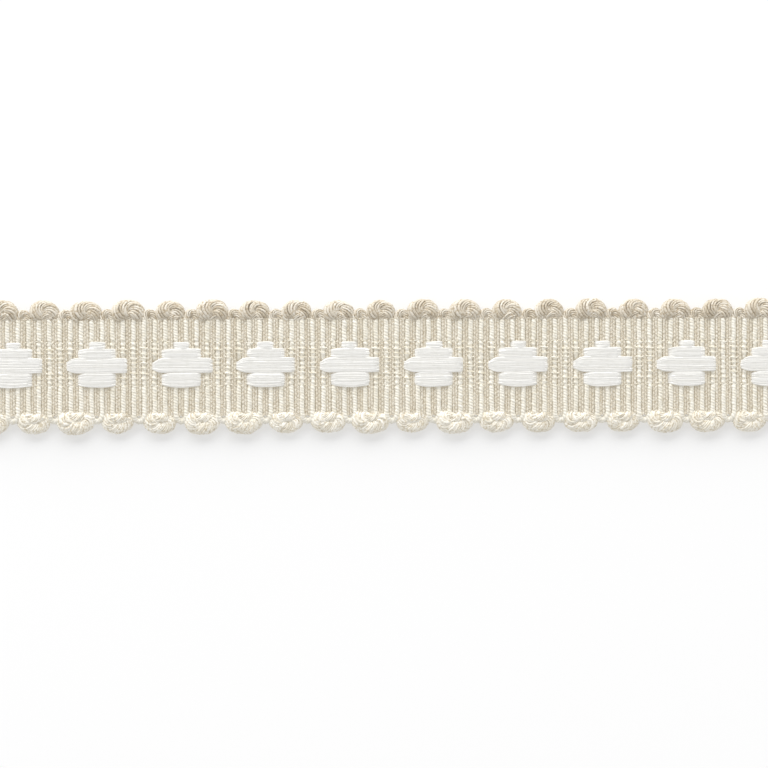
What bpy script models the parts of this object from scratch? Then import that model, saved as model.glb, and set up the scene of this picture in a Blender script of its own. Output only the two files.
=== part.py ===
# A cut length of woven braid trim, one inch wide, lying flat on its back.
# Cream cords cross the band side by side, turn back at both edges in picot loops and run over
# a beige ground. White floats lie over the cords in a row of stepped lozenges.
# Metres, +Z up: X along the braid, Y across it, the origin under its middle.

import math

import bmesh
import bpy

MM = 0.001

# The band
RIB_PITCH = 2.0 * MM
RIBS_PER_REPEAT = 8
REPEATS = 10
WIDTH = 25.4 * MM
GROUND_WIDTH = 18.1 * MM
EDGE_GAP = 0.3 * MM

# Heights above the back of the braid
VALLEY_Z = 1.1 * MM
YARN_Z = 1.35 * MM
CORD_MIDDLE_Z = 1.45 * MM
FLOAT_SEAT_Z = 0.7 * MM

# The cord that makes the ribs, and the two fine ground yarns between two ribs
CORD_RADIUS = 0.6 * MM
CORD_ARC_DEGREES = (165, 115, 65, 15)
YARN_OFFSET = 0.21 * MM

# The strip that holds the roots of the loops
BACKING_WIDTH = 0.7 * MM
BACKING_HEIGHT = 1.3 * MM
ROOT_DEPTH = 0.32 * MM
LOOP_LIFT = 0.05 * MM

REPEAT = RIB_PITCH * RIBS_PER_REPEAT
LENGTH = REPEAT * REPEATS

# White floats of one lozenge, top row first: edges across the band, ribs covered, crown height
FLOAT_ROWS = (
    {"name": "cap", "from_y": 3.38 * MM, "to_y": 4.78 * MM, "ribs": 2, "crown_z": 2.15 * MM},
    {"name": "shoulder", "from_y": 1.62 * MM, "to_y": 3.48 * MM, "ribs": 4, "crown_z": 2.22 * MM},
    {"name": "middle", "from_y": -1.10 * MM, "to_y": 1.72 * MM, "ribs": 6, "crown_z": 2.30 * MM},
    {"name": "foot", "from_y": -3.60 * MM, "to_y": -1.00 * MM, "ribs": 4, "crown_z": 2.22 * MM},
)
FLOAT_OVERHANG = -0.4 * MM
FLOAT_ROUNDING = 0.45 * MM

# Loops of one edge: where they stand along the repeat, how far they spread and reach out, and how
# much shorter some of them are than that reach
EDGES = {
    "upper_picots": {
        "side": 1,
        "colour": (0.62, 0.55, 0.42, 1),
        "big": {
            "at": (-2 * MM, 6 * MM), "root": 1.4 * MM, "spread": 1.65 * MM, "reach": WIDTH / 2,
            "radius": 1.25 * MM, "root_radius": 0.55 * MM, "uneven": 0.25 * MM, "steps": 8,
        },
        "small": {
            "at": (2 * MM, -6 * MM), "root": 0.6 * MM, "spread": 0.65 * MM, "reach": 10.9 * MM,
            "radius": 0.45 * MM, "root_radius": 0.40 * MM, "uneven": 0.1 * MM, "steps": 4,
        },
    },
    "lower_picots": {
        "side": -1,
        "colour": (0.78, 0.73, 0.60, 1),
        "big": {
            "at": (-4 * MM, 4 * MM), "root": 1.6 * MM, "spread": 1.85 * MM, "reach": WIDTH / 2,
            "radius": 1.25 * MM, "root_radius": 0.55 * MM, "uneven": 0.25 * MM, "steps": 8,
        },
        "small": {
            "at": (0, 8 * MM), "root": 0.75 * MM, "spread": 0.80 * MM, "reach": 10.65 * MM,
            "radius": 0.45 * MM, "root_radius": 0.40 * MM, "uneven": 0.1 * MM, "steps": 4,
        },
    },
}
UNEVEN_SHIFT = 0.12 * MM


def clear_scene():
    for thing in list(bpy.data.objects):
        bpy.data.objects.remove(thing)


def new_collection(name):
    collection = bpy.data.collections.new(name)
    bpy.context.scene.collection.children.link(collection)
    return collection


def material(name, colour, roughness):
    made = bpy.data.materials.new(name)
    made.use_nodes = True
    made.diffuse_color = colour
    shader = made.node_tree.nodes["Principled BSDF"]
    shader.inputs["Base Color"].default_value = colour
    shader.inputs["Roughness"].default_value = roughness
    shader.inputs["Metallic"].default_value = 0.0
    return made


def uneven(number):
    # a repeatable value between -1 and 1 that jumps from one number to the next
    wave = math.sin(number * 12.9898) * 43758.5453
    return 2 * (wave - math.floor(wave)) - 1


def repeat_middles():
    return [REPEAT * (i - (REPEATS - 1) / 2) for i in range(REPEATS)]


def add_object(name, data, collection):
    made = bpy.data.objects.new(name, data)
    collection.objects.link(made)
    return made


def add_guide(name, data):
    guide = add_object(name, data, guides)
    guide.hide_render = True
    guide.display_type = "WIRE"
    return guide


def as_mesh(curve, weld=0.01 * MM):
    # a curve's caps are loose, so the mesh that stands for it is welded
    bpy.context.view_layer.update()
    seen = curve.evaluated_get(bpy.context.evaluated_depsgraph_get())
    mesh = bpy.data.meshes.new_from_object(seen)
    mesh.transform(curve.matrix_world)
    bm = bmesh.new()
    bm.from_mesh(mesh)
    bmesh.ops.remove_doubles(bm, verts=bm.verts, dist=weld)
    bm.to_mesh(mesh)
    bm.free()
    bpy.data.objects.remove(curve)
    return mesh


def join(base, guide):
    union = base.modifiers.new("join_" + guide.name, "BOOLEAN")
    union.operation = "UNION"
    union.solver = "EXACT"
    union.object = guide


def rib_outline():
    # the section along X: a flat back, and over it each cord with half a yarn valley on both sides
    outline = [(LENGTH / 2, 0), (-LENGTH / 2, 0)]
    for rib in range(RIBS_PER_REPEAT * REPEATS):
        middle = RIB_PITCH * (rib + 0.5) - LENGTH / 2
        start = middle - RIB_PITCH / 2
        outline.append((start, VALLEY_Z))
        outline.append((start + YARN_OFFSET, YARN_Z))
        for degrees in CORD_ARC_DEGREES:
            angle = math.radians(degrees)
            x = middle + CORD_RADIUS * math.cos(angle)
            outline.append((x, CORD_MIDDLE_Z + CORD_RADIUS * math.sin(angle)))
        outline.append((start + RIB_PITCH - YARN_OFFSET, YARN_Z))
    outline.append((LENGTH / 2, VALLEY_Z))
    return outline


def ridged_ground():
    curve = bpy.data.curves.new("rib_section", "CURVE")
    curve.dimensions = "2D"
    curve.fill_mode = "BOTH"
    curve.extrude = GROUND_WIDTH / 2
    outline = rib_outline()
    spline = curve.splines.new("POLY")
    spline.points.add(len(outline) - 1)
    for point, (x, z) in zip(spline.points, outline):
        point.co = (x, z, 0, 1)
    spline.use_cyclic_u = True
    section = add_object("rib_section", curve, guides)
    section.rotation_euler = (math.radians(90), 0, 0)
    return add_object("woven_ground", as_mesh(section), braid)


def float_bars(row):
    # one bar for each lozenge, its ends tucked beside the next cord
    bm = bmesh.new()
    half = row["ribs"] * RIB_PITCH / 2 + FLOAT_OVERHANG
    for middle in repeat_middles():
        corners = bmesh.ops.create_cube(bm, size=1)["verts"]
        for corner in corners:
            corner.co.x = middle + 2 * half * corner.co.x
            corner.co.y = row["from_y"] + (row["to_y"] - row["from_y"]) * (corner.co.y + 0.5)
            corner.co.z = FLOAT_SEAT_Z + (row["crown_z"] - FLOAT_SEAT_Z) * (corner.co.z + 0.5)
    top = [e for e in bm.edges if all(v.co.z > CORD_MIDDLE_Z for v in e.verts)]
    bmesh.ops.bevel(bm, geom=top, offset=FLOAT_ROUNDING, segments=1, affect="EDGES")
    mesh = bpy.data.meshes.new("float_" + row["name"])
    bm.to_mesh(mesh)
    bm.free()
    return add_guide("float_" + row["name"], mesh)


def backing(name, side):
    inner = GROUND_WIDTH / 2 + EDGE_GAP
    bm = bmesh.new()
    bmesh.ops.create_cube(bm, size=1)
    bmesh.ops.scale(bm, verts=bm.verts, vec=(LENGTH, BACKING_WIDTH, BACKING_HEIGHT))
    bmesh.ops.translate(bm, verts=bm.verts, vec=(0, side * (inner + BACKING_WIDTH / 2), BACKING_HEIGHT / 2))
    mesh = bpy.data.meshes.new(name)
    bm.to_mesh(mesh)
    bm.free()
    return add_object(name, mesh, braid)


def loop_places(kind):
    # along the braid, leaving out a loop that a cut end would halve
    places = [middle + at for middle in repeat_middles() for at in kind["at"]]
    return [x for x in sorted(places) if abs(x) < LENGTH / 2 - kind["root"]]


def add_loop(curve, kind, side, x, number):
    # up from one root, round the bow and down to the other, thicker towards the bow
    # the tube's six sides meet the edge with a flat, which would fall short of the reach
    shift = UNEVEN_SHIFT * uneven(number)
    short = (1 - math.cos(math.radians(30))) * kind["radius"]
    reach = kind["reach"] + short - kind["uneven"] * abs(uneven(number + 0.5))
    root_y = GROUND_WIDTH / 2 + EDGE_GAP + ROOT_DEPTH
    start = math.asin(kind["root"] / kind["spread"])
    rise = (reach - kind["radius"] - root_y) / (1 + math.cos(start))
    spline = curve.splines.new("POLY")
    spline.points.add(kind["steps"])
    for step, point in enumerate(spline.points):
        turn = start + (2 * math.pi - 2 * start) * step / kind["steps"]
        across = kind["spread"] * math.sin(turn)
        up = root_y + rise * (math.cos(start) - math.cos(turn))
        bow = math.sin(math.pi * step / kind["steps"]) ** 0.8
        point.radius = (kind["root_radius"] + (kind["radius"] - kind["root_radius"]) * bow) / kind["radius"]
        height = point.radius * kind["radius"] + LOOP_LIFT
        point.co = (x + across + shift * bow, side * up, height, 1)


def loops(name, kind, side):
    curve = bpy.data.curves.new(name, "CURVE")
    curve.dimensions = "3D"
    curve.bevel_depth = kind["radius"]
    curve.bevel_resolution = 1
    curve.use_fill_caps = True
    for number, x in enumerate(loop_places(kind)):
        add_loop(curve, kind, side, x, number)
    return add_guide(name, as_mesh(add_object(name + "_path", curve, guides)))


def make_ground():
    ground = ridged_ground()
    ground.data.materials.clear()
    ground.data.materials.append(material("beige_ground_and_cream_cord", (0.72, 0.67, 0.55, 1), 0.55))
    for row in FLOAT_ROWS:
        join(ground, float_bars(row))


def make_edge(name, edge):
    strip = backing(name, edge["side"])
    strip.data.materials.append(material(name + "_cord", edge["colour"], 0.5))
    join(strip, loops(name + "_big", edge["big"], edge["side"]))
    join(strip, loops(name + "_small", edge["small"], edge["side"]))


clear_scene()
braid = new_collection("braid_trim")
guides = new_collection("guides")
make_ground()
for edge_name, edge in EDGES.items():
    make_edge(edge_name, edge)
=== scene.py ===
# Woven braid trim with picot edges, thread by thread.
# Twisted cream cords cross the band, white floss floats over them in stepped lozenges, fine beige
# yarns fill the valleys, and the cord turns back at both edges in fat loops.
import math

import bpy
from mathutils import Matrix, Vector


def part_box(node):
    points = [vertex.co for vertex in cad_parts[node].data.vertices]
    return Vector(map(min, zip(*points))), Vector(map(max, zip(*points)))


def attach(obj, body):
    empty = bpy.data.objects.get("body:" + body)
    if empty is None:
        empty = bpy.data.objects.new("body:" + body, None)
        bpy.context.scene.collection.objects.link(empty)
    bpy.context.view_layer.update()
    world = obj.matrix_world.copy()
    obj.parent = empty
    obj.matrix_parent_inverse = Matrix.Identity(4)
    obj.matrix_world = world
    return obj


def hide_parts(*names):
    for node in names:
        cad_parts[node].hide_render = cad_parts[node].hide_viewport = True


mm = 0.001
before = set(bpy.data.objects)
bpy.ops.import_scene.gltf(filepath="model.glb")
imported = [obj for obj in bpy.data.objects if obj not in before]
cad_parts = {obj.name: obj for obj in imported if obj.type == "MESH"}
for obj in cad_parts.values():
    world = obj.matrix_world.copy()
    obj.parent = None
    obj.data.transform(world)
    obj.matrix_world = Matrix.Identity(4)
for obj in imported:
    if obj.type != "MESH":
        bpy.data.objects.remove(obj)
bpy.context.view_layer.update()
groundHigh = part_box("woven_ground")[1]

# layout, worked out from the frame
repeats = 10
ribsPerRepeat = 8
halfLength = groundHigh.x
halfGround = groundHigh.y
repeatLength = 2 * halfLength / repeats
ribPitch = repeatLength / ribsPerRepeat
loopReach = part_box("upper_picots")[1].y
repeatMiddles = [repeatLength * (i - (repeats - 1) / 2) for i in range(repeats)]
oddPlaces = (-7, -5, -3, -1, 1, 3, 5, 7)    # cords of a repeat, in half pitches from its middle

# rows of one lozenge from the top: their edges across the band, how many cords each covers, its
# filaments, how far its lower edge sags, how much it stops short, how far its left end draws together
floatRows = {
    "cap": {"top": 4.72 * mm, "bottom": 3.42 * mm, "cords": 2, "filaments": 10, "sag": 0.0,
            "short": 0.38 * mm, "gather": 0.1},
    "shoulder": {"top": 3.47 * mm, "bottom": 1.70 * mm, "cords": 4, "filaments": 13, "sag": 0.05 * mm,
                 "short": 0.26 * mm, "gather": 0.3},
    "middle": {"top": 1.70 * mm, "bottom": -1.00 * mm, "cords": 6, "filaments": 19, "sag": 0.1 * mm,
               "short": 0.12 * mm, "gather": 0.62},
    "foot": {"top": -1.17 * mm, "bottom": -3.5 * mm, "cords": 4, "filaments": 17, "sag": 0.36 * mm,
             "short": 0.24 * mm, "gather": 0.24},
}


def uneven(number):
    # repeatable value from -1 to 1, by the usual sine hash
    wave = math.sin(number * 12.9898) * 43758.5453
    return 2 * (wave - math.floor(wave)) - 1


def smooth(edgeA, edgeB, value):
    # 0 at edgeA and 1 at edgeB, level at both
    part = min(1.0, max(0.0, (value - edgeA) / (edgeB - edgeA)))
    return part * part * (3 - 2 * part)


def linear(hexColour):
    # sRGB hex to linear, with full alpha
    parts = [int(hexColour[i:i + 2], 16) / 255 for i in (1, 3, 5)]
    return tuple(c / 12.92 if c <= 0.04045 else ((c + 0.055) / 1.055) ** 2.4 for c in parts) + (1.0,)


def addNode(tree, kind, inputs=None, **settings):
    node = tree.nodes.new(kind)
    for name, value in settings.items():
        setattr(node, name, value)
    for key, value in (inputs or {}).items():
        if isinstance(value, bpy.types.NodeSocket):
            tree.links.new(value, node.inputs[key])
        else:
            node.inputs[key].default_value = value
    return node


def newFinish(name):
    finish = bpy.data.materials.new(name)
    finish.use_nodes = True
    return finish, finish.node_tree.nodes["Principled BSDF"]


# shared by all threads: noise values where flecks begin and are full, how far apart the fibre patterns
# of two strands lie, and how deep the grooves between fibres look
fibre = {"fleckFrom": 0.52, "fleckTo": 0.66, "strandOffset": 90.0, "groove": 0.05 * mm,
         "sheenRoughness": 0.4}


def threadFinish(name, look):
    # colour drifts along the braid, each strand differs a little, and painted shade darkens the creases
    # between strands
    finish, shader = newFinish(name)
    tree = finish.node_tree
    place = addNode(tree, "ShaderNodeTexCoord").outputs["Object"]
    strand = addNode(tree, "ShaderNodeAttribute", attribute_name="strandShade").outputs["Fac"]
    crest = addNode(tree, "ShaderNodeAttribute", attribute_name="crest").outputs["Fac"]
    along = addNode(tree, "ShaderNodeAttribute", attribute_name="alongThread").outputs["Fac"]
    around = addNode(tree, "ShaderNodeAttribute", attribute_name="aroundThread").outputs["Fac"]
    cloud = addNode(tree, "ShaderNodeTexNoise", {
        "Vector": place, "Scale": 1 / look["patch"], "Detail": 2.0})
    tint = addNode(tree, "ShaderNodeMix", {
        0: cloud.outputs["Fac"], 6: linear(look["dark"]), 7: linear(look["light"])}, data_type="RGBA")
    strandTint = addNode(tree, "ShaderNodeMix", {
        0: strand, 6: linear(look["strandDark"]), 7: (1, 1, 1, 1)}, data_type="RGBA")
    # painted shade: the colour darkens towards the creases between strands, by how near a point lies to the
    # cord's middle
    raised = addNode(tree, "ShaderNodeMapRange", {
        "Value": crest, 1: look["creaseFrom"], 2: look["creaseTo"]})
    paintedCreaseShade = addNode(tree, "ShaderNodeMix", {
        0: raised.outputs[0], 6: linear(look["creaseShade"]), 7: (1, 1, 1, 1)}, data_type="RGBA")
    mottled = addNode(tree, "ShaderNodeMix", {0: 1.0, 6: tint.outputs[2], 7: strandTint.outputs[2]},
                      data_type="RGBA", blend_type="MULTIPLY")
    colour = addNode(tree, "ShaderNodeMix", {0: 1.0, 6: mottled.outputs[2], 7: paintedCreaseShade.outputs[2]},
                     data_type="RGBA", blend_type="MULTIPLY")
    # flecks: random specks of darker tone; on the beige yarn they are painted shade of the gaps under the
    # warp threads
    fleck = addNode(tree, "ShaderNodeTexNoise", {
        "Vector": place, "Scale": 1 / look["fleckSize"], "Detail": 0.0})
    flecked = addNode(tree, "ShaderNodeMapRange", {
        "Value": fleck.outputs["Fac"], 1: fibre["fleckFrom"], 2: fibre["fleckTo"]})
    fleckAndGapShade = addNode(tree, "ShaderNodeMix", {
        0: flecked.outputs[0], 6: (1, 1, 1, 1), 7: linear(look["fleck"])}, data_type="RGBA")
    worn = addNode(tree, "ShaderNodeMix", {0: 1.0, 6: colour.outputs[2], 7: fleckAndGapShade.outputs[2]},
                   data_type="RGBA", blend_type="MULTIPLY")
    tree.links.new(worn.outputs[2], shader.inputs["Base Color"])
    length = addNode(tree, "ShaderNodeMath", {0: along, 1: 1 / look["fibreLength"]}, operation="MULTIPLY")
    turn = addNode(tree, "ShaderNodeMath", {0: around, 1: look["fibresAround"]}, operation="MULTIPLY")
    own = addNode(tree, "ShaderNodeMath", {0: strand, 1: fibre["strandOffset"]}, operation="MULTIPLY")
    fibrePlace = addNode(tree, "ShaderNodeCombineXYZ", {
        "X": length.outputs[0], "Y": turn.outputs[0], "Z": own.outputs[0]})
    grooves = addNode(tree, "ShaderNodeTexNoise", {
        "Vector": fibrePlace.outputs[0], "Scale": 1.0, "Detail": 2.0})
    bump = addNode(tree, "ShaderNodeBump", {
        "Height": grooves.outputs["Fac"], "Strength": look["bump"], "Distance": fibre["groove"]})
    tree.links.new(bump.outputs["Normal"], shader.inputs["Normal"])
    shader.inputs["Roughness"].default_value = look["roughness"]
    shader.inputs["Specular IOR Level"].default_value = look["specular"]
    shader.inputs["Sheen Weight"].default_value = look["sheen"]
    shader.inputs["Sheen Roughness"].default_value = fibre["sheenRoughness"]
    # painted light: the threads glow faintly in their own dark colour, in place of the light fibres pass on
    # to each other, so even the deep gaps stay pale
    shader.inputs["Emission Color"].default_value = linear(look["dark"])
    shader.inputs["Emission Strength"].default_value = look["glow"]
    return finish


# two-ply viscose cord, twisted hard: glossy cream with a bright stroke on every ply
viscoseCordCream = threadFinish("viscoseCordCream", {
    "dark": "#D9D5CA", "light": "#E6E3DB", "strandDark": "#F7F5EF", "patch": 2.9 * mm, "creaseShade": "#EEE9DF",
    "creaseFrom": 0.45, "creaseTo": 0.9, "fibreLength": 0.9 * mm, "fibresAround": 7.0, "bump": 0.3,
    "fleck": "#F6F4EE", "fleckSize": 0.6 * mm,
    "roughness": 0.42, "specular": 0.38, "sheen": 0.1, "glow": 0.26})
# the same viscose opened into soft strands in the loops of the upper edge: silky, light brown, coloured
# darker than the lower loops as painted shade
viscoseLoopTanShaded = threadFinish("viscoseLoopTanShaded", {
    "dark": "#CAC3B5", "light": "#DAD5CB", "strandDark": "#E1DACD", "patch": 2.2 * mm, "creaseShade": "#CDC4B6",
    "creaseFrom": 0.5, "creaseTo": 0.7, "fibreLength": 0.7 * mm, "fibresAround": 7.0, "bump": 0.5,
    "fleck": "#D9CFBE", "fleckSize": 0.4 * mm,
    "roughness": 0.36, "specular": 0.5, "sheen": 0.1, "glow": 0.2})
# opened strands of the lower loops: silky cream, coloured paler than the upper loops as painted light
viscoseLoopCreamLit = threadFinish("viscoseLoopCreamLit", {
    "dark": "#E3DFD4", "light": "#F1EEE7", "strandDark": "#EEEAE1", "patch": 2.2 * mm, "creaseShade": "#DAD3C7",
    "creaseFrom": 0.5, "creaseTo": 0.7, "fibreLength": 0.7 * mm, "fibresAround": 7.0, "bump": 0.5,
    "fleck": "#E2DBCD", "fleckSize": 0.4 * mm,
    "roughness": 0.36, "specular": 0.5, "sheen": 0.1, "glow": 0.2})
# spun yarn dyed beige: nearly matt, a little fluffy; its darker flecks are painted shade of the gaps under
# the warp threads, placed at random
spunYarnBeige = threadFinish("spunYarnBeige", {
    "dark": "#CCC6B8", "light": "#DAD4C8", "strandDark": "#F3F0E9", "patch": 1.7 * mm, "creaseShade": "#FFFFFF",
    "fleck": "#D8CFC0", "fleckSize": 0.26 * mm,
    "creaseFrom": 0.5, "creaseTo": 1.0, "fibreLength": 0.4 * mm, "fibresAround": 5.0, "bump": 0.5,
    "roughness": 0.7, "specular": 0.3, "sheen": 0.25, "glow": 0.27})
# fine smooth thread of the warp, spun and dyed with the yarns: pale flecks across them
warpThreadBeige = threadFinish("warpThreadBeige", {
    "dark": "#D1CABA", "light": "#DFD9CC", "strandDark": "#EFEBE3", "patch": 1.4 * mm, "creaseShade": "#FFFFFF",
    "fleck": "#DDD4C4", "fleckSize": 0.26 * mm,
    "creaseFrom": 0.5, "creaseTo": 1.0, "fibreLength": 0.4 * mm, "fibresAround": 4.0, "bump": 0.4,
    "roughness": 0.55, "specular": 0.4, "sheen": 0.2, "glow": 0.25})
# ivory binding thread, pulled tight: small bright knots beside each cord
bindingThreadIvory = threadFinish("bindingThreadIvory", {
    "dark": "#EEEBE0", "light": "#F8F5ED", "strandDark": "#F2EDE0", "patch": 1.4 * mm, "creaseShade": "#FFFFFF",
    "fleck": "#F4F1E8", "fleckSize": 0.4 * mm,
    "creaseFrom": 0.5, "creaseTo": 1.0, "fibreLength": 0.4 * mm, "fibresAround": 4.0, "bump": 0.4,
    "roughness": 0.45, "specular": 0.5, "sheen": 0.15, "glow": 0.1})
# untwisted white floss: flat satin with straight fibres
flossWhite = threadFinish("flossWhite", {
    "dark": "#D7D6D3", "light": "#DFDEDB", "strandDark": "#F5F4F1", "patch": 3.3 * mm, "creaseShade": "#FFFFFF",
    "fleck": "#FBFBFA", "fleckSize": 0.8 * mm,
    "creaseFrom": 0.5, "creaseTo": 1.0, "fibreLength": 3.0 * mm, "fibresAround": 6.0, "bump": 0.12,
    "roughness": 0.6, "specular": 0.15, "sheen": 0.1, "glow": 0.34})
print("finishes made")


def newTree(name, inputs):
    tree = bpy.data.node_groups.new(name, "GeometryNodeTree")
    for label, kind, value in inputs:
        socket = tree.interface.new_socket(label, in_out="INPUT", socket_type=kind)
        if value is not None:
            socket.default_value = value
    tree.interface.new_socket("Piece", in_out="OUTPUT", socket_type="NodeSocketGeometry")
    return tree, addNode(tree, "NodeGroupInput").outputs


def endTree(tree, made, finish):
    shaded = addNode(tree, "GeometryNodeSetShadeSmooth", {"Geometry": made})
    real = addNode(tree, "GeometryNodeRealizeInstances", {"Geometry": shaded.outputs[0]})
    coloured = addNode(tree, "GeometryNodeSetMaterial", {"Geometry": real.outputs[0], "Material": finish})
    addNode(tree, "NodeGroupOutput", {0: coloured.outputs[0]})
    return tree


# how many strand numbers each path keeps, how fast the strands' slip and drift change per metre, and
# the seed of their shades
strandNoise = {"numbersPerPath": 37.0, "slip": 330.0, "drift": 450.0, "shadeSeed": 7}


def twistedCordTree():
    # strands wound round each path; the path's own radius is the cord's outer radius
    tree, given = newTree("twistedCord", (
        ("Paths", "NodeSocketGeometry", None),
        ("Strands", "NodeSocketInt", 3),
        ("Strand size", "NodeSocketFloat", 0.49),
        ("Turns per metre", "NodeSocketFloat", 600.0),
        ("Step", "NodeSocketFloat", 0.2 * mm),
        ("Keep points", "NodeSocketBool", False),
        ("Sides", "NodeSocketInt", 5),
        ("Looseness", "NodeSocketFloat", 0.0),
        ("Flatness", "NodeSocketFloat", 1.0),
        ("Size spread", "NodeSocketFloat", 0.0),
        ("Twist wander", "NodeSocketFloat", 0.0),
        ("Seed", "NodeSocketInt", 1),
        ("Finish", "NodeSocketMaterial", None),
    ))
    even = addNode(tree, "GeometryNodeResampleCurve", {"Curve": given["Paths"], "Length": given["Step"]},
                   mode="LENGTH")
    chosen = addNode(tree, "GeometryNodeSwitch", {
        "Switch": given["Keep points"], "False": even.outputs[0], "True": given["Paths"]},
        input_type="GEOMETRY")
    upright = addNode(tree, "GeometryNodeSetCurveNormal", {"Curve": chosen.outputs[0]}, mode="Z_UP")
    number = addNode(tree, "GeometryNodeInputIndex")
    numbered = addNode(tree, "GeometryNodeStoreNamedAttribute", {
        "Geometry": upright.outputs[0], "Name": "pathNumber", "Value": number.outputs[0]},
        data_type="INT", domain="CURVE")
    middled = addNode(tree, "GeometryNodeStoreNamedAttribute", {
        "Geometry": numbered.outputs[0], "Name": "cordMiddle",
        "Value": addNode(tree, "GeometryNodeInputPosition").outputs[0]},
        data_type="FLOAT_VECTOR", domain="POINT")
    girthed = addNode(tree, "GeometryNodeStoreNamedAttribute", {
        "Geometry": middled.outputs[0], "Name": "cordRadius",
        "Value": addNode(tree, "GeometryNodeInputRadius").outputs[0]}, data_type="FLOAT", domain="POINT")
    copies = addNode(tree, "GeometryNodeDuplicateElements", {
        "Geometry": girthed.outputs[0], "Amount": given["Strands"]}, domain="SPLINE")
    path = addNode(tree, "GeometryNodeInputNamedAttribute", {"Name": "pathNumber"},
                   data_type="INT").outputs[0]
    strand = copies.outputs["Duplicate Index"]
    strandId = addNode(tree, "ShaderNodeMath", {0: path, 1: strandNoise["numbersPerPath"], 2: strand},
                       operation="MULTIPLY_ADD").outputs[0]
    share = addNode(tree, "ShaderNodeMath", {0: strand, 1: given["Strands"]},
                    operation="DIVIDE").outputs[0]
    along = addNode(tree, "GeometryNodeSplineParameter").outputs["Length"]
    wound = addNode(tree, "ShaderNodeMath", {0: along, 1: given["Turns per metre"]},
                    operation="MULTIPLY").outputs[0]
    phase = addNode(tree, "FunctionNodeRandomValue", {2: 0.0, 3: 1.0, "ID": path, "Seed": given["Seed"]},
                    data_type="FLOAT").outputs[1]
    turns = addNode(tree, "ShaderNodeMath", {0: share, 1: wound}, operation="SUBTRACT").outputs[0]
    slip = addNode(tree, "ShaderNodeTexNoise", {"W": path, "Scale": strandNoise["slip"], "Detail": 1.0},
                   noise_dimensions="4D").outputs["Fac"]
    slipped = addNode(tree, "ShaderNodeMath", {0: slip, 1: given["Twist wander"], 2: phase},
                      operation="MULTIPLY_ADD").outputs[0]
    shifted = addNode(tree, "ShaderNodeMath", {0: turns, 1: slipped}, operation="ADD").outputs[0]
    angle = addNode(tree, "ShaderNodeMath", {0: shifted, 1: 2 * math.pi},
                    operation="MULTIPLY").outputs[0]
    tangent = addNode(tree, "GeometryNodeInputTangent").outputs[0]
    side = addNode(tree, "GeometryNodeInputNormal").outputs[0]
    depth = addNode(tree, "ShaderNodeVectorMath", {0: tangent, 1: side},
                    operation="CROSS_PRODUCT").outputs[0]
    radius = addNode(tree, "GeometryNodeInputRadius").outputs[0]
    rest = addNode(tree, "ShaderNodeMath", {0: 1.0, 1: given["Strand size"]},
                   operation="SUBTRACT").outputs[0]
    ring = addNode(tree, "ShaderNodeMath", {0: radius, 1: rest}, operation="MULTIPLY").outputs[0]
    cosine = addNode(tree, "ShaderNodeMath", {0: angle}, operation="COSINE").outputs[0]
    sine = addNode(tree, "ShaderNodeMath", {0: angle}, operation="SINE").outputs[0]
    across = addNode(tree, "ShaderNodeVectorMath", {0: side, "Scale": cosine},
                     operation="SCALE").outputs[0]
    pressed = addNode(tree, "ShaderNodeMath", {0: sine, 1: given["Flatness"]},
                      operation="MULTIPLY").outputs[0]
    up = addNode(tree, "ShaderNodeVectorMath", {0: depth, "Scale": pressed}, operation="SCALE").outputs[0]
    around = addNode(tree, "ShaderNodeVectorMath", {0: across, 1: up}, operation="ADD").outputs[0]
    offset = addNode(tree, "ShaderNodeVectorMath", {0: around, "Scale": ring},
                     operation="SCALE").outputs[0]
    drift = addNode(tree, "ShaderNodeTexNoise", {
        "W": strandId, "Scale": strandNoise["drift"], "Detail": 1.0},
        noise_dimensions="4D").outputs["Color"]
    centred = addNode(tree, "ShaderNodeVectorMath", {0: drift, 1: (0.5, 0.5, 0.5)},
                      operation="SUBTRACT").outputs[0]
    loose = addNode(tree, "ShaderNodeVectorMath", {0: centred, "Scale": given["Looseness"]},
                    operation="SCALE").outputs[0]
    moved = addNode(tree, "ShaderNodeVectorMath", {0: offset, 1: loose}, operation="ADD").outputs[0]
    placed = addNode(tree, "GeometryNodeSetPosition", {"Geometry": copies.outputs[0], "Offset": moved})
    smallest = addNode(tree, "ShaderNodeMath", {0: 1.0, 1: given["Size spread"]},
                       operation="SUBTRACT").outputs[0]
    largest = addNode(tree, "ShaderNodeMath", {0: 1.0, 1: given["Size spread"]}, operation="ADD").outputs[0]
    bulk = addNode(tree, "FunctionNodeRandomValue", {
        2: smallest, 3: largest, "ID": strandId, "Seed": given["Seed"]}, data_type="FLOAT").outputs[1]
    thin = addNode(tree, "ShaderNodeMath", {0: radius, 1: given["Strand size"]},
                   operation="MULTIPLY").outputs[0]
    thick = addNode(tree, "ShaderNodeMath", {0: thin, 1: bulk}, operation="MULTIPLY").outputs[0]
    shade = addNode(tree, "FunctionNodeRandomValue", {
        2: 0.0, 3: 1.0, "ID": strandId, "Seed": strandNoise["shadeSeed"]},
        data_type="FLOAT").outputs[1]
    marked = addNode(tree, "GeometryNodeStoreNamedAttribute", {
        "Geometry": placed.outputs[0], "Name": "strandShade", "Value": shade},
        data_type="FLOAT", domain="POINT")
    measured = addNode(tree, "GeometryNodeStoreNamedAttribute", {
        "Geometry": marked.outputs[0], "Name": "alongThread", "Value": along},
        data_type="FLOAT", domain="POINT")
    sized = addNode(tree, "GeometryNodeSetCurveRadius", {"Curve": measured.outputs[0], "Radius": thick})
    circle = addNode(tree, "GeometryNodeCurvePrimitiveCircle", {"Resolution": given["Sides"], "Radius": 1.0})
    section = addNode(tree, "GeometryNodeStoreNamedAttribute", {
        "Geometry": circle.outputs[0], "Name": "aroundThread",
        "Value": addNode(tree, "GeometryNodeSplineParameter").outputs["Factor"]},
        data_type="FLOAT", domain="POINT")
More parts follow.
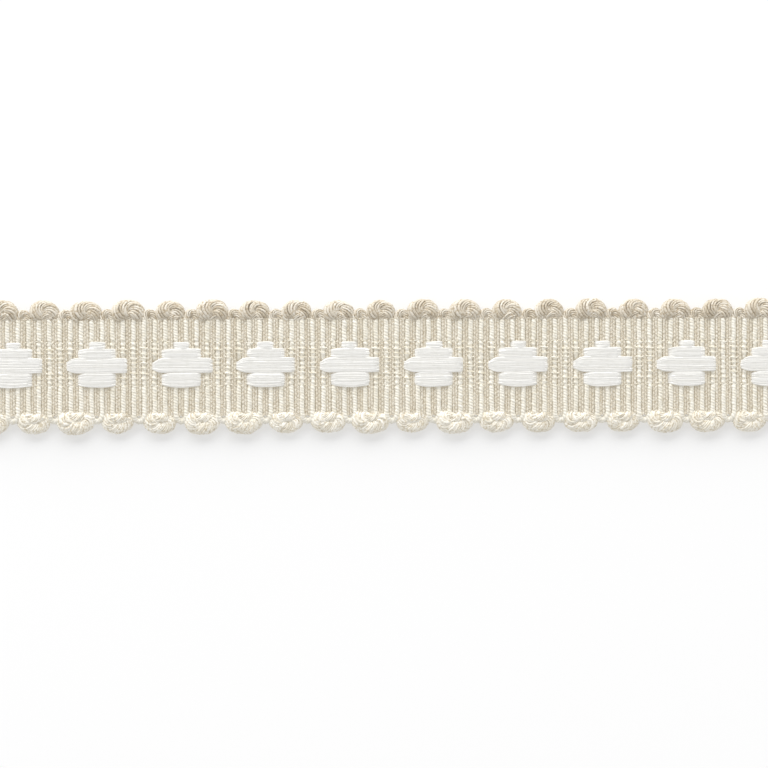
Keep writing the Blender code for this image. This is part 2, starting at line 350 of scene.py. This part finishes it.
    tube = addNode(tree, "GeometryNodeCurveToMesh", {
        "Curve": sized.outputs[0], "Profile Curve": section.outputs[0], "Fill Caps": True,
        "Scale": addNode(tree, "GeometryNodeInputRadius").outputs[0]})
    middle = addNode(tree, "GeometryNodeInputNamedAttribute", {"Name": "cordMiddle"},
                     data_type="FLOAT_VECTOR").outputs[0]
    girth = addNode(tree, "GeometryNodeInputNamedAttribute", {"Name": "cordRadius"},
                    data_type="FLOAT").outputs[0]
    place = addNode(tree, "GeometryNodeInputPosition").outputs[0]
    away = addNode(tree, "ShaderNodeVectorMath", {0: place, 1: middle},
                   operation="DISTANCE").outputs["Value"]
    crest = addNode(tree, "ShaderNodeMath", {0: away, 1: girth}, operation="DIVIDE").outputs[0]
    creased = addNode(tree, "GeometryNodeStoreNamedAttribute", {
        "Geometry": tube.outputs[0], "Name": "crest", "Value": crest}, data_type="FLOAT", domain="POINT")
    return endTree(tree, creased.outputs[0], given["Finish"])


twistedCord = twistedCordTree()
# a single thread, drawn through its path's own points
singleThread = {"Strands": 1, "Strand size": 1.0, "Turns per metre": 0.0, "Keep points": True}
print("cord tree made")


def pathObject(name, paths):
    # each path is a list of (x, y, z, radius)
    curve = bpy.data.curves.new(name, "CURVE")
    curve.dimensions = "3D"
    for path in paths:
        spline = curve.splines.new("POLY")
        spline.points.add(len(path) - 1)
        for point, (x, y, z, radius) in zip(spline.points, path):
            point.co = (x, y, z, 1)
            point.radius = radius
    made = bpy.data.objects.new(name, curve)
    bpy.context.scene.collection.objects.link(made)
    return made


def growPiece(name, source, tree, values):
    growth = source.modifiers.new(name, "NODES")
    growth.node_group = tree
    for item in tree.interface.items_tree:
        if item.item_type == "SOCKET" and item.in_out == "INPUT" and item.name in values:
            growth[item.identifier] = values[item.name]
    bpy.context.view_layer.update()
    mesh = bpy.data.meshes.new_from_object(source.evaluated_get(bpy.context.evaluated_depsgraph_get()))
    mesh.name = name
    source.modifiers.remove(growth)
    bpy.data.objects.remove(source)
    piece = bpy.data.objects.new(name, mesh)
    bpy.context.scene.collection.objects.link(piece)
    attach(piece, "root")
    print(name, len(mesh.polygons), "faces")
    return piece


# cords that make the ribs
ribCord = {
    "radius": 0.59 * mm,
    "spread": 0.04,              # share by which the radius wanders
    "middleHeight": 1.42 * mm,
    "steps": 110,                # points from edge to edge
    "rootLength": 0.25 * mm,     # runs on this far under the upper loops, and drops by as much there
    "lowRoot": 0.05 * mm,        # stops this far inside the lower edge
    "sway": 0.05 * mm,           # a long slow bend and a short one
    "swayLength": 3.1 * mm,
    "tremble": 0.03 * mm,
    "trembleLength": 0.47 * mm,
    "core": 0.82,                # radius of the soft core inside the plies, as a share
    "plies": 2,
    "plySize": 0.55,
    "turnsPerMetre": 943.0,      # one turn in 1.06 mm, so strokes 0.53 mm apart
    "underFloat": 0.75 * mm,     # how far it dips below the floats
    "underShrink": 0.25,
    "dipStart": 0.25 * mm,       # the dip starts outside the floats and is full inside them
    "dipFull": 0.45 * mm,
    "bead": 0.92 * mm,           # spacing of the pinches where binding threads cross it
    "beadSwell": 0.08,
    "pinch": 0.3,
    "pinchDip": 0.14 * mm,
    "fade": 0.8 * mm,            # the pinches fade out over this length above and below a lozenge
}
# the turn below the band, from one cord to the next
ribTurn = {"depth": 1.26 * mm, "drop": 0.34 * mm, "swell": 1.2, "steps": 12}
cordLowEnd = -halfGround + ribCord["lowRoot"]


def coveredFrom(cordNumber):
    # y range under the floats for the cord at this odd place beside the lozenge's middle
    covered = [row for row in floatRows.values() if cordNumber < row["cords"]]
    if not covered:
        return None
    return max(row["top"] for row in covered), min(row["bottom"] for row in covered)


def cordHeight(y, cordNumber, seed):
    # height and thickness of a rib at y: it dips under floats and is pinched by binding threads
    radius = ribCord["radius"] * (1 + ribCord["spread"] * uneven(seed + round(y / mm)))
    height = ribCord["middleHeight"]
    capTop, footBottom = floatRows["cap"]["top"], floatRows["foot"]["bottom"]
    beads = math.sin(math.pi * (y - footBottom) / ribCord["bead"]) ** 2
    bound = smooth(capTop + ribCord["fade"], capTop, y)
    bound *= smooth(footBottom - ribCord["fade"], footBottom, y)
    squeeze = (1 - beads) ** 2 * bound
    radius *= 1 + (ribCord["beadSwell"] * beads - ribCord["pinch"] * squeeze) * bound
    height -= ribCord["pinchDip"] * squeeze
    covered = coveredFrom(cordNumber)
    if covered:
        top, bottom = covered
        under = smooth(top + ribCord["dipStart"], top - ribCord["dipFull"], y)
        under *= smooth(bottom - ribCord["dipStart"], bottom + ribCord["dipFull"], y)
        height -= ribCord["underFloat"] * under
        radius *= 1 - ribCord["underShrink"] * under
    return height, radius


def ribPoints(x, cordNumber, seed):
    points = []
    top = halfGround + ribCord["rootLength"]
    for i in range(ribCord["steps"] + 1):
        y = top + (cordLowEnd - top) * i / ribCord["steps"]
        height, radius = cordHeight(y, cordNumber, seed)
        height -= ribCord["rootLength"] * smooth(halfGround - ribCord["rootLength"], top, y)
        sway = ribCord["sway"] * math.sin(y / ribCord["swayLength"] + seed)
        sway += ribCord["tremble"] * math.sin(y / ribCord["trembleLength"] + 2 * seed)
        points.append((x + sway, y, height, radius))
    return points


def turnPoints(x):
    # half oval below the band from one cord to the next
    points = []
    for i in range(1, ribTurn["steps"]):
        angle = math.pi * i / ribTurn["steps"]
        points.append((x - ribPitch / 2 * math.cos(angle), cordLowEnd - ribTurn["depth"] * math.sin(angle),
                       ribCord["middleHeight"] - ribTurn["drop"] * math.sin(angle),
                       ribCord["radius"] * ribTurn["swell"]))
    return points


def ribPaths():
    # between two lower loops a cord turns to the right and comes back as the next one
    paths = []
    seed = 0
    for middle in repeatMiddles:
        for place in oddPlaces:
            seed += 1
            x = middle + place * ribPitch / 2
            turnsRight = place in (-1, 7) and x + ribPitch < halfLength
            comesFromLeft = place in (1, -7) and x - ribPitch > -halfLength
            if comesFromLeft:
                continue
            points = ribPoints(x, abs(place), seed)
            if turnsRight:
                back = ribPoints(x + ribPitch, abs(place), seed + 0.5)
                points += turnPoints(x + ribPitch / 2) + back[::-1]
            paths.append(points)
    return paths


paths = ribPaths()
half = len(paths) // 2
cores = [[(x, y, z, radius * ribCord["core"]) for x, y, z, radius in path] for path in paths]
growPiece("rib_cores", pathObject("rib_cores", cores), twistedCord, {
    "Strands": 1, "Strand size": 1.0, "Turns per metre": 0.0, "Step": 0.45 * mm, "Sides": 7,
    "Seed": 2, "Finish": viscoseCordCream})
for name, share in (("rib_cords_left", paths[:half]), ("rib_cords_right", paths[half:])):
    growPiece(name, pathObject(name, share), twistedCord, {
        "Strands": ribCord["plies"], "Strand size": ribCord["plySize"],
        "Turns per metre": ribCord["turnsPerMetre"], "Step": 0.14 * mm, "Sides": 5, "Looseness": 0.05 * mm,
        "Size spread": 0.08, "Twist wander": 1.1, "Seed": 3, "Finish": viscoseCordCream})

# fine warp threads along the band: heights over and under a yarn, beside it and under a cord, and
# where they stand from the valley's middle
warp = {"spacing": 0.385 * mm, "radius": 0.075 * mm, "overYarn": 1.84 * mm, "underYarn": 1.3 * mm,
        "besideYarn": 1.25 * mm, "underCord": 0.85 * mm, "yarnAt": 0.24 * mm, "besideAt": 0.5 * mm,
        "cordAt": 1.0 * mm, "stray": 0.04 * mm, "fray": 0.4 * mm, "frayMore": 0.5 * mm,
        "frayHeight": 0.3 * mm}
warpRows = int(2 * halfGround / warp["spacing"])

# two beige yarns in each valley, nipped by every other warp thread
valleyYarn = {"radius": 0.25 * mm, "height": 1.59 * mm, "offset": 0.235 * mm, "nip": 0.14,
              "nipDip": 0.06 * mm, "spread": 0.05, "stray": 0.02 * mm,
              "lowRoot": 0.25 * mm, "highRoot": 0.1 * mm}


def valleyPaths():
    paths = []
    low = -halfGround - valleyYarn["lowRoot"]
    high = halfGround + valleyYarn["highRoot"]
    steps = 2 * warpRows + 2
    for i in range(repeats * ribsPerRepeat + 1):
        x = -halfLength + i * ribPitch
        for side in (-1, 1):
            place = x + side * valleyYarn["offset"]
            if abs(place) > halfLength:
                continue
            path = []
            for j in range(steps + 1):
                y = low + (high - low) * j / steps
                nipped = (j // 2 + (side > 0)) % 2 if j % 2 else 0
                bead = 1 - valleyYarn["nip"] * nipped + valleyYarn["spread"] * uneven(i * 9 + j + side)
                path.append((place + valleyYarn["stray"] * uneven(i + j * 0.7), y,
                             valleyYarn["height"] - valleyYarn["nipDip"] * nipped,
                             valleyYarn["radius"] * bead))
            paths.append(path)
    return paths


growPiece("valley_yarns", pathObject("valley_yarns", valleyPaths()), twistedCord, {
    **singleThread, "Sides": 5, "Looseness": 0.04 * mm, "Size spread": 0.06, "Seed": 11,
    "Finish": spunYarnBeige})


def warpPaths():
    # over one yarn of each valley and under its neighbour, row by row the other way round
    paths = []
    heights = [warp["underYarn"], warp["overYarn"]]
    for i in range(warpRows):
        y = -halfGround + (i + 0.5) * 2 * halfGround / warpRows
        fray = [warp["fray"] + warp["frayMore"] * abs(uneven(i + k)) for k in (0.1, 0.7)]
        weave = ((-warp["besideAt"], warp["besideYarn"]), (-warp["yarnAt"], heights[i % 2]),
                 (warp["yarnAt"], heights[1 - i % 2]), (warp["besideAt"], warp["besideYarn"]),
                 (warp["cordAt"], warp["underCord"]))
        path = [(-halfLength - fray[0], y, warp["frayHeight"], warp["radius"])]
        for j in range(repeats * ribsPerRepeat + 1):
            x = -halfLength + j * ribPitch
            for away, z in weave:
                if -halfLength < x + away < halfLength:
                    stray = warp["stray"] * uneven(i * 7 + j * 3 + away / mm)
                    path.append((x + away, y + stray, z, warp["radius"]))
        path.append((halfLength + fray[1], y, warp["frayHeight"], warp["radius"]))
        paths.append(path)
    return paths


growPiece("warp_threads", pathObject("warp_threads", warpPaths()), twistedCord, {
    **singleThread, "Sides": 3, "Size spread": 0.2, "Seed": 5, "Finish": warpThreadBeige})

# the thread that closes the upper edge, over every cord just below the loops
edgeThread = {"radius": 0.12 * mm, "y": 9.08 * mm, "atValley": 1.7 * mm, "atCord": 1.5 * mm,
              "stray": 0.05 * mm, "pointsPerRib": 4}


def edgeThreadPath():
    path = []
    for j in range(edgeThread["pointsPerRib"] * repeats * ribsPerRepeat + 1):
        x = -halfLength + j * ribPitch / edgeThread["pointsPerRib"]
        wave = 0.5 - 0.5 * math.cos(2 * math.pi * x / ribPitch)
        z = edgeThread["atValley"] + (edgeThread["atCord"] - edgeThread["atValley"]) * wave
        path.append((x, edgeThread["y"] + edgeThread["stray"] * uneven(j), z, edgeThread["radius"]))
    return path


growPiece("edge_thread", pathObject("edge_thread", [edgeThreadPath()]), twistedCord, {
    "Strands": 2, "Strand size": 0.6, "Turns per metre": 900.0, "Step": 0.2 * mm, "Sides": 5,
    "Seed": 6, "Finish": warpThreadBeige})

# fat loops of opened cord: half widths of the path at its roots and its widest, the bundle's radius at
# the root, in the legs and in the bow, how much thicker its first leg is, where it leaves the band,
# and where the strands lie that close its middle
loopKinds = {
    "upper_loops": {"side": 1, "at": (-2 * mm, 6 * mm), "root": 1.3 * mm, "spread": 1.48 * mm,
                    "rootBulk": 1.35 * mm, "legBulk": 1.62 * mm, "bowBulk": 1.25 * mm, "lopsided": 0.05,
                    "rootY": 9.1 * mm, "rootZ": 0.95 * mm, "innerY": 9.25 * mm, "innerZ": 1.3 * mm,
                    "turns": 130.0, "strandSize": 0.18,
                    "finish": viscoseLoopTanShaded, "slot": "tan_loops", "replaces": "upper_picots"},
    "lower_loops": {"side": -1, "at": (-4 * mm, 4 * mm), "root": 0.7 * mm, "spread": 1.88 * mm,
                    "rootBulk": 1.0 * mm, "legBulk": 1.5 * mm, "bowBulk": 1.35 * mm, "lopsided": -0.06,
                    "rootY": 9.3 * mm, "rootZ": 1.25 * mm, "innerY": 9.2 * mm, "innerZ": 1.42 * mm,
                    "turns": 180.0, "strandSize": 0.21,
                    "finish": viscoseLoopCreamLit, "slot": "cream_cord", "replaces": "lower_picots"},
}
# how both kinds lie: how much single loops differ in reach, size and lean, where a leg is full and the
# bow begins and ends along the path, and how high the bundle's middle lies, as a share of its radius
loopHabit = {"reachMore": 0.18 * mm, "reachSpread": 0.3 * mm, "sizeSpread": 0.08, "lean": 0.22 * mm,
             "legFull": 0.13, "bowStart": 0.2, "bowFull": 0.5, "firstLegEnd": 0.25, "lastLegStart": 0.75,
             "fullness": 0.85, "lift": 0.745, "steps": 30}
innerStrands = {"halfWidth": 1.5 * mm, "radius": 1.0 * mm, "arch": 0.5 * mm, "archSpread": 0.2 * mm,
                "halfSteps": 5}


def loopPath(kind, x, number):
    # up one leg, round the bow and down the other
    points = []
    reach = loopReach + loopHabit["reachMore"] - loopHabit["reachSpread"] * abs(uneven(number + 0.5))
    size = 1 + loopHabit["sizeSpread"] * uneven(number + 0.2)
    lean = loopHabit["lean"] * uneven(number)
    start = math.asin(kind["root"] / kind["spread"])
    rise = (reach - kind["bowBulk"] - kind["rootY"]) / (1 + math.cos(start))
    for i in range(loopHabit["steps"] + 1):
        part = i / loopHabit["steps"]
        turn = start + (2 * math.pi - 2 * start) * part
        near = min(part, 1 - part)
        leg = smooth(0, loopHabit["legFull"], near)
        bow = smooth(loopHabit["bowStart"], loopHabit["bowFull"], near)
        otherLeg = smooth(loopHabit["firstLegEnd"], loopHabit["lastLegStart"], part)
        radius = kind["rootBulk"] + (kind["legBulk"] - kind["rootBulk"]) * leg
        radius += (kind["bowBulk"] - kind["legBulk"]) * bow
        radius *= size * (1 + kind["lopsided"] * (1 - 2 * otherLeg))
        across = math.copysign(abs(math.sin(turn)) ** loopHabit["fullness"], math.sin(turn))
        y = kind["rootY"] + rise * (math.cos(start) - math.cos(turn))
        resting = loopHabit["lift"] * radius
        z = kind["rootZ"] + (resting - kind["rootZ"]) * leg
        points.append((x - kind["side"] * kind["spread"] * size * across + lean * bow, kind["side"] * y,
                       max(z, resting), radius))
    return points


def innerPath(kind, x, number):
    # strands from leg to leg that close the middle of a loop
    points = []
    arch = innerStrands["arch"] + innerStrands["archSpread"] * uneven(number)
    for i in range(2 * innerStrands["halfSteps"] + 1):
        part = i / innerStrands["halfSteps"] - 1
        y = kind["innerY"] + arch * (1 - part * part)
        points.append((x + innerStrands["halfWidth"] * part, kind["side"] * y, kind["innerZ"],
                       innerStrands["radius"]))
    return points


for name, kind in loopKinds.items():
    places = [middle + at for middle in repeatMiddles for at in kind["at"]]
    paths = [loopPath(kind, x, i + 3 * kind["side"]) for i, x in enumerate(places)]
    paths += [innerPath(kind, x, i) for i, x in enumerate(places)]
    piece = growPiece(name, pathObject(name, paths), twistedCord, {
        "Strands": 12, "Strand size": kind["strandSize"], "Turns per metre": kind["turns"],
        "Step": 0.25 * mm, "Sides": 6, "Looseness": 0.34 * mm, "Flatness": 0.62, "Size spread": 0.22,
        "Seed": 21, "Finish": kind["finish"]})
    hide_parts(kind["replaces"])

# small turns of the cord between the upper loops
upperTurn = {"at": (-6 * mm, 2 * mm), "radius": 0.8 * mm, "halfWidth": 0.9 * mm, "reach": 11.15 * mm,
             "reachSpread": 0.1 * mm, "rootLength": 0.1 * mm, "height": 1.2 * mm, "drop": 0.1 * mm,
             "steps": 16}


def upperTurnPath(x, number):
    points = []
    base = halfGround - upperTurn["rootLength"]
    rise = upperTurn["reach"] - upperTurn["radius"] - base
    rise -= upperTurn["reachSpread"] * abs(uneven(number))
    for i in range(upperTurn["steps"] + 1):
        angle = math.pi * i / upperTurn["steps"]
        points.append((x - upperTurn["halfWidth"] * math.cos(angle), base + rise * math.sin(angle),
                       upperTurn["height"] - upperTurn["drop"] * math.sin(angle), upperTurn["radius"]))
    return points


turnPlaces = [middle + at for middle in repeatMiddles for at in upperTurn["at"]]
turnPaths = [upperTurnPath(x, i) for i, x in enumerate(turnPlaces)]
growPiece("upper_turns", pathObject("upper_turns", turnPaths), twistedCord, {
    "Strands": 8, "Strand size": 0.24, "Turns per metre": 200.0, "Step": 0.2 * mm, "Sides": 5,
    "Looseness": 0.16 * mm, "Size spread": 0.15, "Seed": 9, "Finish": viscoseLoopTanShaded})

# white floats: filaments of floss laid side by side over the cords, bent down into the weave at the
# ends, and drawn together there
floss = {
    "radius": 0.16 * mm,
    "height": 2.12 * mm,
    "crown": 0.06 * mm,          # a row's outer filaments lie this much lower
    "crownPower": 4,
    "stray": 0.03 * mm,
    "overhang": 0.08 * mm,       # how far a row reaches past its outer cords
    "endSpread": 0.14 * mm,      # how much the ends of filaments differ, and of whole rows
    "rowSpread": 0.28 * mm,
    "endDrop": 0.95 * mm,        # the ends bend down this far over their last stretch
    "endLength": 0.75 * mm,
    "leftSlope": 0.25 * mm,      # and the left half slopes down before that
    "slopeLength": 2.0 * mm,
    "wave": 0.045 * mm,          # filaments wander this far to either side
    "waveTurn": 6,
    "waveSpread": 2,
    "gatherAt": 0.38,            # where across the row its filaments draw together
    "leftLength": 2.1 * mm,
    "rightGather": 0.08,
    "rightLength": 1.0 * mm,
    "steps": 16,
}


def floatPath(row, middle, number, across, ends):
    # one filament from its left end to its right end; across is -1 at the row's top, 1 at its bottom
    path = []
    rowMiddle = (row["top"] + row["bottom"]) / 2
    gatherY = row["bottom"] + floss["gatherAt"] * (row["top"] - row["bottom"])
    y = rowMiddle - (rowMiddle - row["bottom"]) * across + floss["stray"] * uneven(number)
    for i in range(floss["steps"] + 1):
        part = i / floss["steps"]
        x = middle - ends[0] + (ends[0] + ends[1]) * part
        fromLeft = x - (middle - ends[0])
        fromRight = middle + ends[1] - x
        drop = floss["endDrop"] * (1 - smooth(0, floss["endLength"], min(fromLeft, fromRight)))
        drop += floss["leftSlope"] * (1 - smooth(0, floss["slopeLength"], fromLeft))
        z = floss["height"] - floss["crown"] * across ** floss["crownPower"] - drop
        slack = math.sin(part * math.pi)
        wave = math.sin(part * (floss["waveTurn"] + floss["waveSpread"] * uneven(number)) + number)
        sag = row["sag"] * slack * ((across + 1) / 2) ** 2
        gather = row["gather"] * (1 - smooth(0, floss["leftLength"], fromLeft))
        gather += floss["rightGather"] * (1 - smooth(0, floss["rightLength"], fromRight))
        level = y + (gatherY - y) * gather
        path.append((x, level + floss["wave"] * wave * slack - sag, z, floss["radius"]))
    return path


def floatPaths(row):
    paths = []
    reach = row["cords"] * ribPitch / 2 + floss["overhang"] - row["short"]
    for k, middle in enumerate(repeatMiddles):
        for j in range(row["filaments"]):
            number = k * 53 + j * 7 + row["cords"]
            across = 2 * (j + 0.5) / row["filaments"] - 1
            ends = [reach + floss["endSpread"] * uneven(number + e)
                    + floss["rowSpread"] * uneven(k * 3.1 + row["cords"] + e) for e in (0.3, 0.8)]
            paths.append(floatPath(row, middle, number, across, ends))
    return paths


for name, row in floatRows.items():
    growPiece("float_" + name, pathObject("float_" + name, floatPaths(row)), twistedCord, {
        **singleThread, "Sides": 5, "Looseness": 0.06 * mm, "Size spread": 0.15, "Seed": 31,
        "Finish": flossWhite})

# binding threads over the cords beside the lozenges, with a small knot in the valley on both sides
binding = {
    "radius": 0.05 * mm,
    "knot": 0.17 * mm,           # knot's radius level with the edges of the float rows
    "smallKnot": 0.09 * mm,      # and on the rows between
    "between": (2.6 * mm, 0.8 * mm, -0.1 * mm, -2.2 * mm),
    "knotHeight": 1.72 * mm,
    "knotFrom": 0.72,            # place of the knot along each half, as a share of halfSpan
    "knotTo": 0.95,
    "knotSpread": 0.2,
    "halfSpan": 0.66 * mm,
    "slant": 0.06 * mm,
    "archWidth": 1.15,           # the arch over the cord ends at 1 / this of halfSpan
    "proud": 0.02 * mm,          # how far it lies over the cord
    "clear": 0.2 * mm,           # none lies this close to a float
    "stray": 0.17 * mm,
    "highest": 4.3 * mm,         # the middle cords have none beyond these
    "lowest": -3 * mm,
    "leftOut": 0.7,              # uneven value above which one is missing
    "halfSteps": 5,
}


def bindingPath(x, y, height, knot):
    path = []
    for i in range(2 * binding["halfSteps"] + 1):
        part = i / binding["halfSteps"] - 1
        rise = math.sqrt(max(0.0, 1 - (part * binding["archWidth"]) ** 2))
        z = binding["knotHeight"] + (height - binding["knotHeight"]) * rise
        thick = knot if binding["knotFrom"] < abs(part) < binding["knotTo"] else binding["radius"]
        path.append((x + binding["halfSpan"] * part, y - binding["slant"] * part, z, thick))
    return path


def bindingPaths():
    paths = []
    rowEdges = [row["top"] for row in floatRows.values()] + [floatRows["foot"]["bottom"]]
    clear = binding["clear"]
    for k, middle in enumerate(repeatMiddles):
        for place in oddPlaces:
            covered = coveredFrom(abs(place))
            for level in rowEdges + list(binding["between"]):
                if covered and covered[1] - clear < level < covered[0] + clear:
                    continue
                if abs(place) == 1 and (level > binding["highest"] or level < binding["lowest"]):
                    continue
                height, radius = cordHeight(level, abs(place), 0)
                number = k * 17 + place + level / mm
                if uneven(number + 0.9) > binding["leftOut"]:
                    continue
                knot = binding["knot"] if level in rowEdges else binding["smallKnot"]
                knot *= 1 + binding["knotSpread"] * uneven(number + 0.5)
                y = level + binding["stray"] * uneven(number)
                paths.append(bindingPath(middle + place * ribPitch / 2, y,
                                         height + radius + binding["proud"], knot))
    return paths


growPiece("binding_threads", pathObject("binding_threads", bindingPaths()), twistedCord, {
    **singleThread, "Sides": 5, "Looseness": 0.04 * mm, "Size spread": 0.15, "Seed": 41,
    "Finish": bindingThreadIvory})

# the thin ground cloth under all of it
groundCloth = {"stepsAlong": 640, "stepsAcross": 6, "thickness": 0.75 * mm, "height": 1.05 * mm,
               "rise": 0.3 * mm}    # it rises in the valleys and sinks under the cords


def makeGroundCloth():
    across, along = groundCloth["stepsAcross"], groundCloth["stepsAlong"]
    verts, faces = [], []
    for j in range(across + 1):
        y = -halfGround + 2 * halfGround * j / across
        for i in range(along + 1):
            x = -halfLength + 2 * halfLength * i / along
            verts.append((x, y, groundCloth["height"]
                          + groundCloth["rise"] * math.cos(2 * math.pi * x / ribPitch)))
    for j in range(across):
        for i in range(along):
            corner = j * (along + 1) + i
            faces.append((corner, corner + 1, corner + along + 2, corner + along + 1))
    mesh = bpy.data.meshes.new("ground_cloth")
    mesh.from_pydata(verts, [], faces)
    mesh.shade_smooth()
    mesh.materials.append(spunYarnBeige)
    cloth = bpy.data.objects.new("ground_cloth", mesh)
    bpy.context.scene.collection.objects.link(cloth)
    body = cloth.modifiers.new("thickness", "SOLIDIFY")
    body.thickness = groundCloth["thickness"]
    body.offset = -1
    return cloth


cloth = makeGroundCloth()
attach(cloth, "root")
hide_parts("woven_ground")
print("ground_cloth", len(cloth.data.polygons), "faces before its thickness")

# stage, light and camera
studio = {
    "floor": "#CBCBCB",
    "glow": 0.36,
    "floorSize": 3.0,
    "floorGap": 0.02 * mm,
    "roughness": 0.9,
    "sky": 0.62,
    "key": 90.0,                       # panel's power in watts
    "keySize": (4.0, 2.0),
    "keyPlace": (-0.36, 2.0, 0.86),
    "lens": 200.0,                     # in the camera's own millimetres, as is the sensor
    "sensor": 36.0,
    "viewWidth": 145.9 * mm,
    "aimAt": (-1.47 * mm, -3.35 * mm, 1.5 * mm),
    "tilt": -0.18,                     # in degrees
    "nearest": 0.01,
}


def makeStage():
    bpy.ops.mesh.primitive_plane_add(size=studio["floorSize"], location=(0, 0, -studio["floorGap"]))
    floor = bpy.context.object
    floor.name = "floor"
    # opal sheet lit faintly from below: a white ground with thin shadows
    finish, shader = newFinish("opalLightTable")
    shader.inputs["Emission Color"].default_value = (1, 1, 1, 1)
    shader.inputs["Emission Strength"].default_value = studio["glow"]
    shader.inputs["Base Color"].default_value = linear(studio["floor"])
    shader.inputs["Roughness"].default_value = studio["roughness"]
    floor.data.materials.append(finish)
    world = bpy.data.worlds.new("softRoom")
    world.use_nodes = True
    world.node_tree.nodes["Background"].inputs["Color"].default_value = (1, 1, 1, 1)
    world.node_tree.nodes["Background"].inputs["Strength"].default_value = studio["sky"]
    bpy.context.scene.world = world
    light = bpy.data.lights.new("keyPanel", "AREA")
    light.shape = "RECTANGLE"
    light.size, light.size_y = studio["keySize"]
    light.energy = studio["key"]
    key = bpy.data.objects.new("keyPanel", light)
    key.location = studio["keyPlace"]
    aim = -key.location.normalized()
    key.rotation_euler = aim.to_track_quat("-Z", "Y").to_euler()
    bpy.context.scene.collection.objects.link(key)


def makeCamera():
    lens = bpy.data.cameras.new("camera")
    lens.lens = studio["lens"]
    lens.sensor_width = studio["sensor"]
    lens.clip_start = studio["nearest"]
    camera = bpy.data.objects.new("camera", lens)
    x, y, z = studio["aimAt"]
    distance = studio["viewWidth"] * studio["lens"] / studio["sensor"]
    camera.location = (x, y, distance + z)
    camera.rotation_euler = (0, 0, math.radians(studio["tilt"]))
    bpy.context.scene.collection.objects.link(camera)
    bpy.context.scene.camera = camera


makeStage()
makeCamera()
bpy.context.scene.view_settings.view_transform = "Standard"
print("stage, light and camera made")
